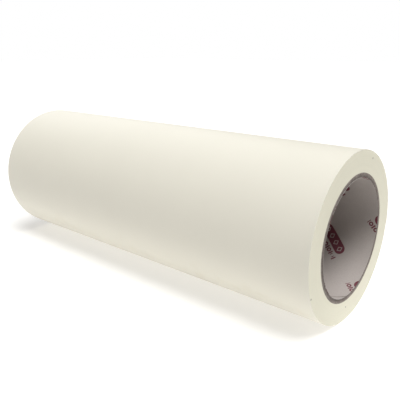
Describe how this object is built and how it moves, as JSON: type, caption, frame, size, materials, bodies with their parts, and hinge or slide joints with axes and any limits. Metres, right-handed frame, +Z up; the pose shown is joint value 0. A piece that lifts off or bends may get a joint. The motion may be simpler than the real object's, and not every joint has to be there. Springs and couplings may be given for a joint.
{
  "type": "roll of sign vinyl application tape",
  "caption": "Wide roll of self-wound adhesive paper web on a spiral-wound paperboard core, with a free leading edge that lifts.",
  "frame": {"origin": "middle of the core's bore, on the roll's axis", "axes": "+X along the roll's axis, +Z up as the roll lies on its side, and the free edge of the web is on the +Y side"},
  "size_m": [0.3048, 0.1104, 0.1099],
  "materials": {
    "core_liner_paper": "matte, with a repeated dark red print",
    "core_board": "matte grey-brown board",
    "core_cover_paper": "matte grey-brown paper",
    "web": "matte cream paper with a clear adhesive on its inner side",
    "tab_paper": "smooth off-white paper"
  },
  "bodies": {
    "roll": {"core_liner": "core_liner_paper", "core_board_ply_1": "core_board", "core_board_ply_2": "core_board", "core_board_ply_3": "core_board", "core_board_ply_4": "core_board", "core_board_ply_5": "core_board", "core_board_ply_6": "core_board", "core_cover_ply": "core_cover_paper", "wound_pack": "web", "outer_turn": "web"},
    "free_end": {"leading_edge": "web", "starter_tab": "tab_paper"}
  },
  "joints": [
    {"name": "leading_edge_lift", "type": "hinge", "parent": "roll", "child": "free_end", "pos_m": [0, 0.044, 0.03309], "axis": [1, 0, 0], "range_deg": [0, 110]}
  ]
}
